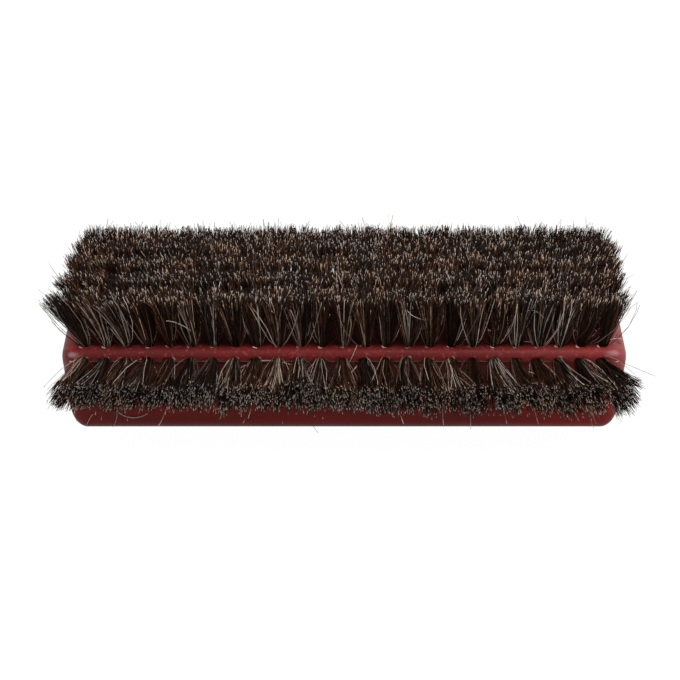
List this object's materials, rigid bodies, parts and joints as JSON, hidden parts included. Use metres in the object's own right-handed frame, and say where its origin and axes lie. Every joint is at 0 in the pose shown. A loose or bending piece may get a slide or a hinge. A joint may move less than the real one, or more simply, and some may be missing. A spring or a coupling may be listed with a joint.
{
  "type": "pool table brush",
  "caption": "Long wooden brush with finger grooves, upright horsehair tufts for table cloth and level tufts that reach under the rails.",
  "frame": {"origin": "centre of the block's flat back", "axes": "+X along the block, +Z the way the upright tufts point, -Y the way the rail tufts point"},
  "size_m": [0.2345, 0.0864, 0.0659],
  "materials": {
    "red_lacquered_wood": "satin lacquer",
    "horsehair": "natural hair, cut tips",
    "anchor_wire": "bright drawn wire"
  },
  "bodies": {
    "root": {"wood_block": "red_lacquered_wood", "field_row_1": "horsehair", "field_row_2": "horsehair", "field_row_3": "horsehair", "field_row_4": "horsehair", "field_row_5": "horsehair", "rail_tuft_01": "horsehair", "rail_tuft_02": "horsehair", "rail_tuft_03": "horsehair", "rail_tuft_04": "horsehair", "rail_tuft_05": "horsehair", "rail_tuft_06": "horsehair", "rail_tuft_07": "horsehair", "rail_tuft_08": "horsehair", "rail_tuft_09": "horsehair", "rail_tuft_10": "horsehair", "rail_tuft_11": "horsehair", "rail_tuft_12": "horsehair", "rail_tuft_13": "horsehair", "rail_tuft_14": "horsehair", "rail_tuft_15": "horsehair", "rail_tuft_16": "horsehair", "rail_tuft_17": "horsehair", "rail_tuft_18": "horsehair", "rail_tuft_19": "horsehair", "rail_tuft_20": "horsehair", "rail_tuft_21": "horsehair", "rail_tuft_22": "horsehair", "rail_tuft_23": "horsehair", "rail_tuft_24": "horsehair", "rail_tuft_25": "horsehair", "rail_anchor_01": "anchor_wire", "rail_anchor_02": "anchor_wire", "rail_anchor_03": "anchor_wire", "rail_anchor_04": "anchor_wire", "rail_anchor_05": "anchor_wire", "rail_anchor_06": "anchor_wire", "rail_anchor_07": "anchor_wire", "rail_anchor_08": "anchor_wire", "rail_anchor_09": "anchor_wire", "rail_anchor_10": "anchor_wire", "rail_anchor_11": "anchor_wire", "rail_anchor_12": "anchor_wire", "rail_anchor_13": "anchor_wire", "rail_anchor_14": "anchor_wire", "rail_anchor_15": "anchor_wire", "rail_anchor_16": "anchor_wire", "rail_anchor_17": "anchor_wire", "rail_anchor_18": "anchor_wire", "rail_anchor_19": "anchor_wire", "rail_anchor_20": "anchor_wire", "rail_anchor_21": "anchor_wire", "rail_anchor_22": "anchor_wire", "rail_anchor_23": "anchor_wire", "rail_anchor_24": "anchor_wire", "rail_anchor_25": "anchor_wire"}
  },
  "joints": []
}
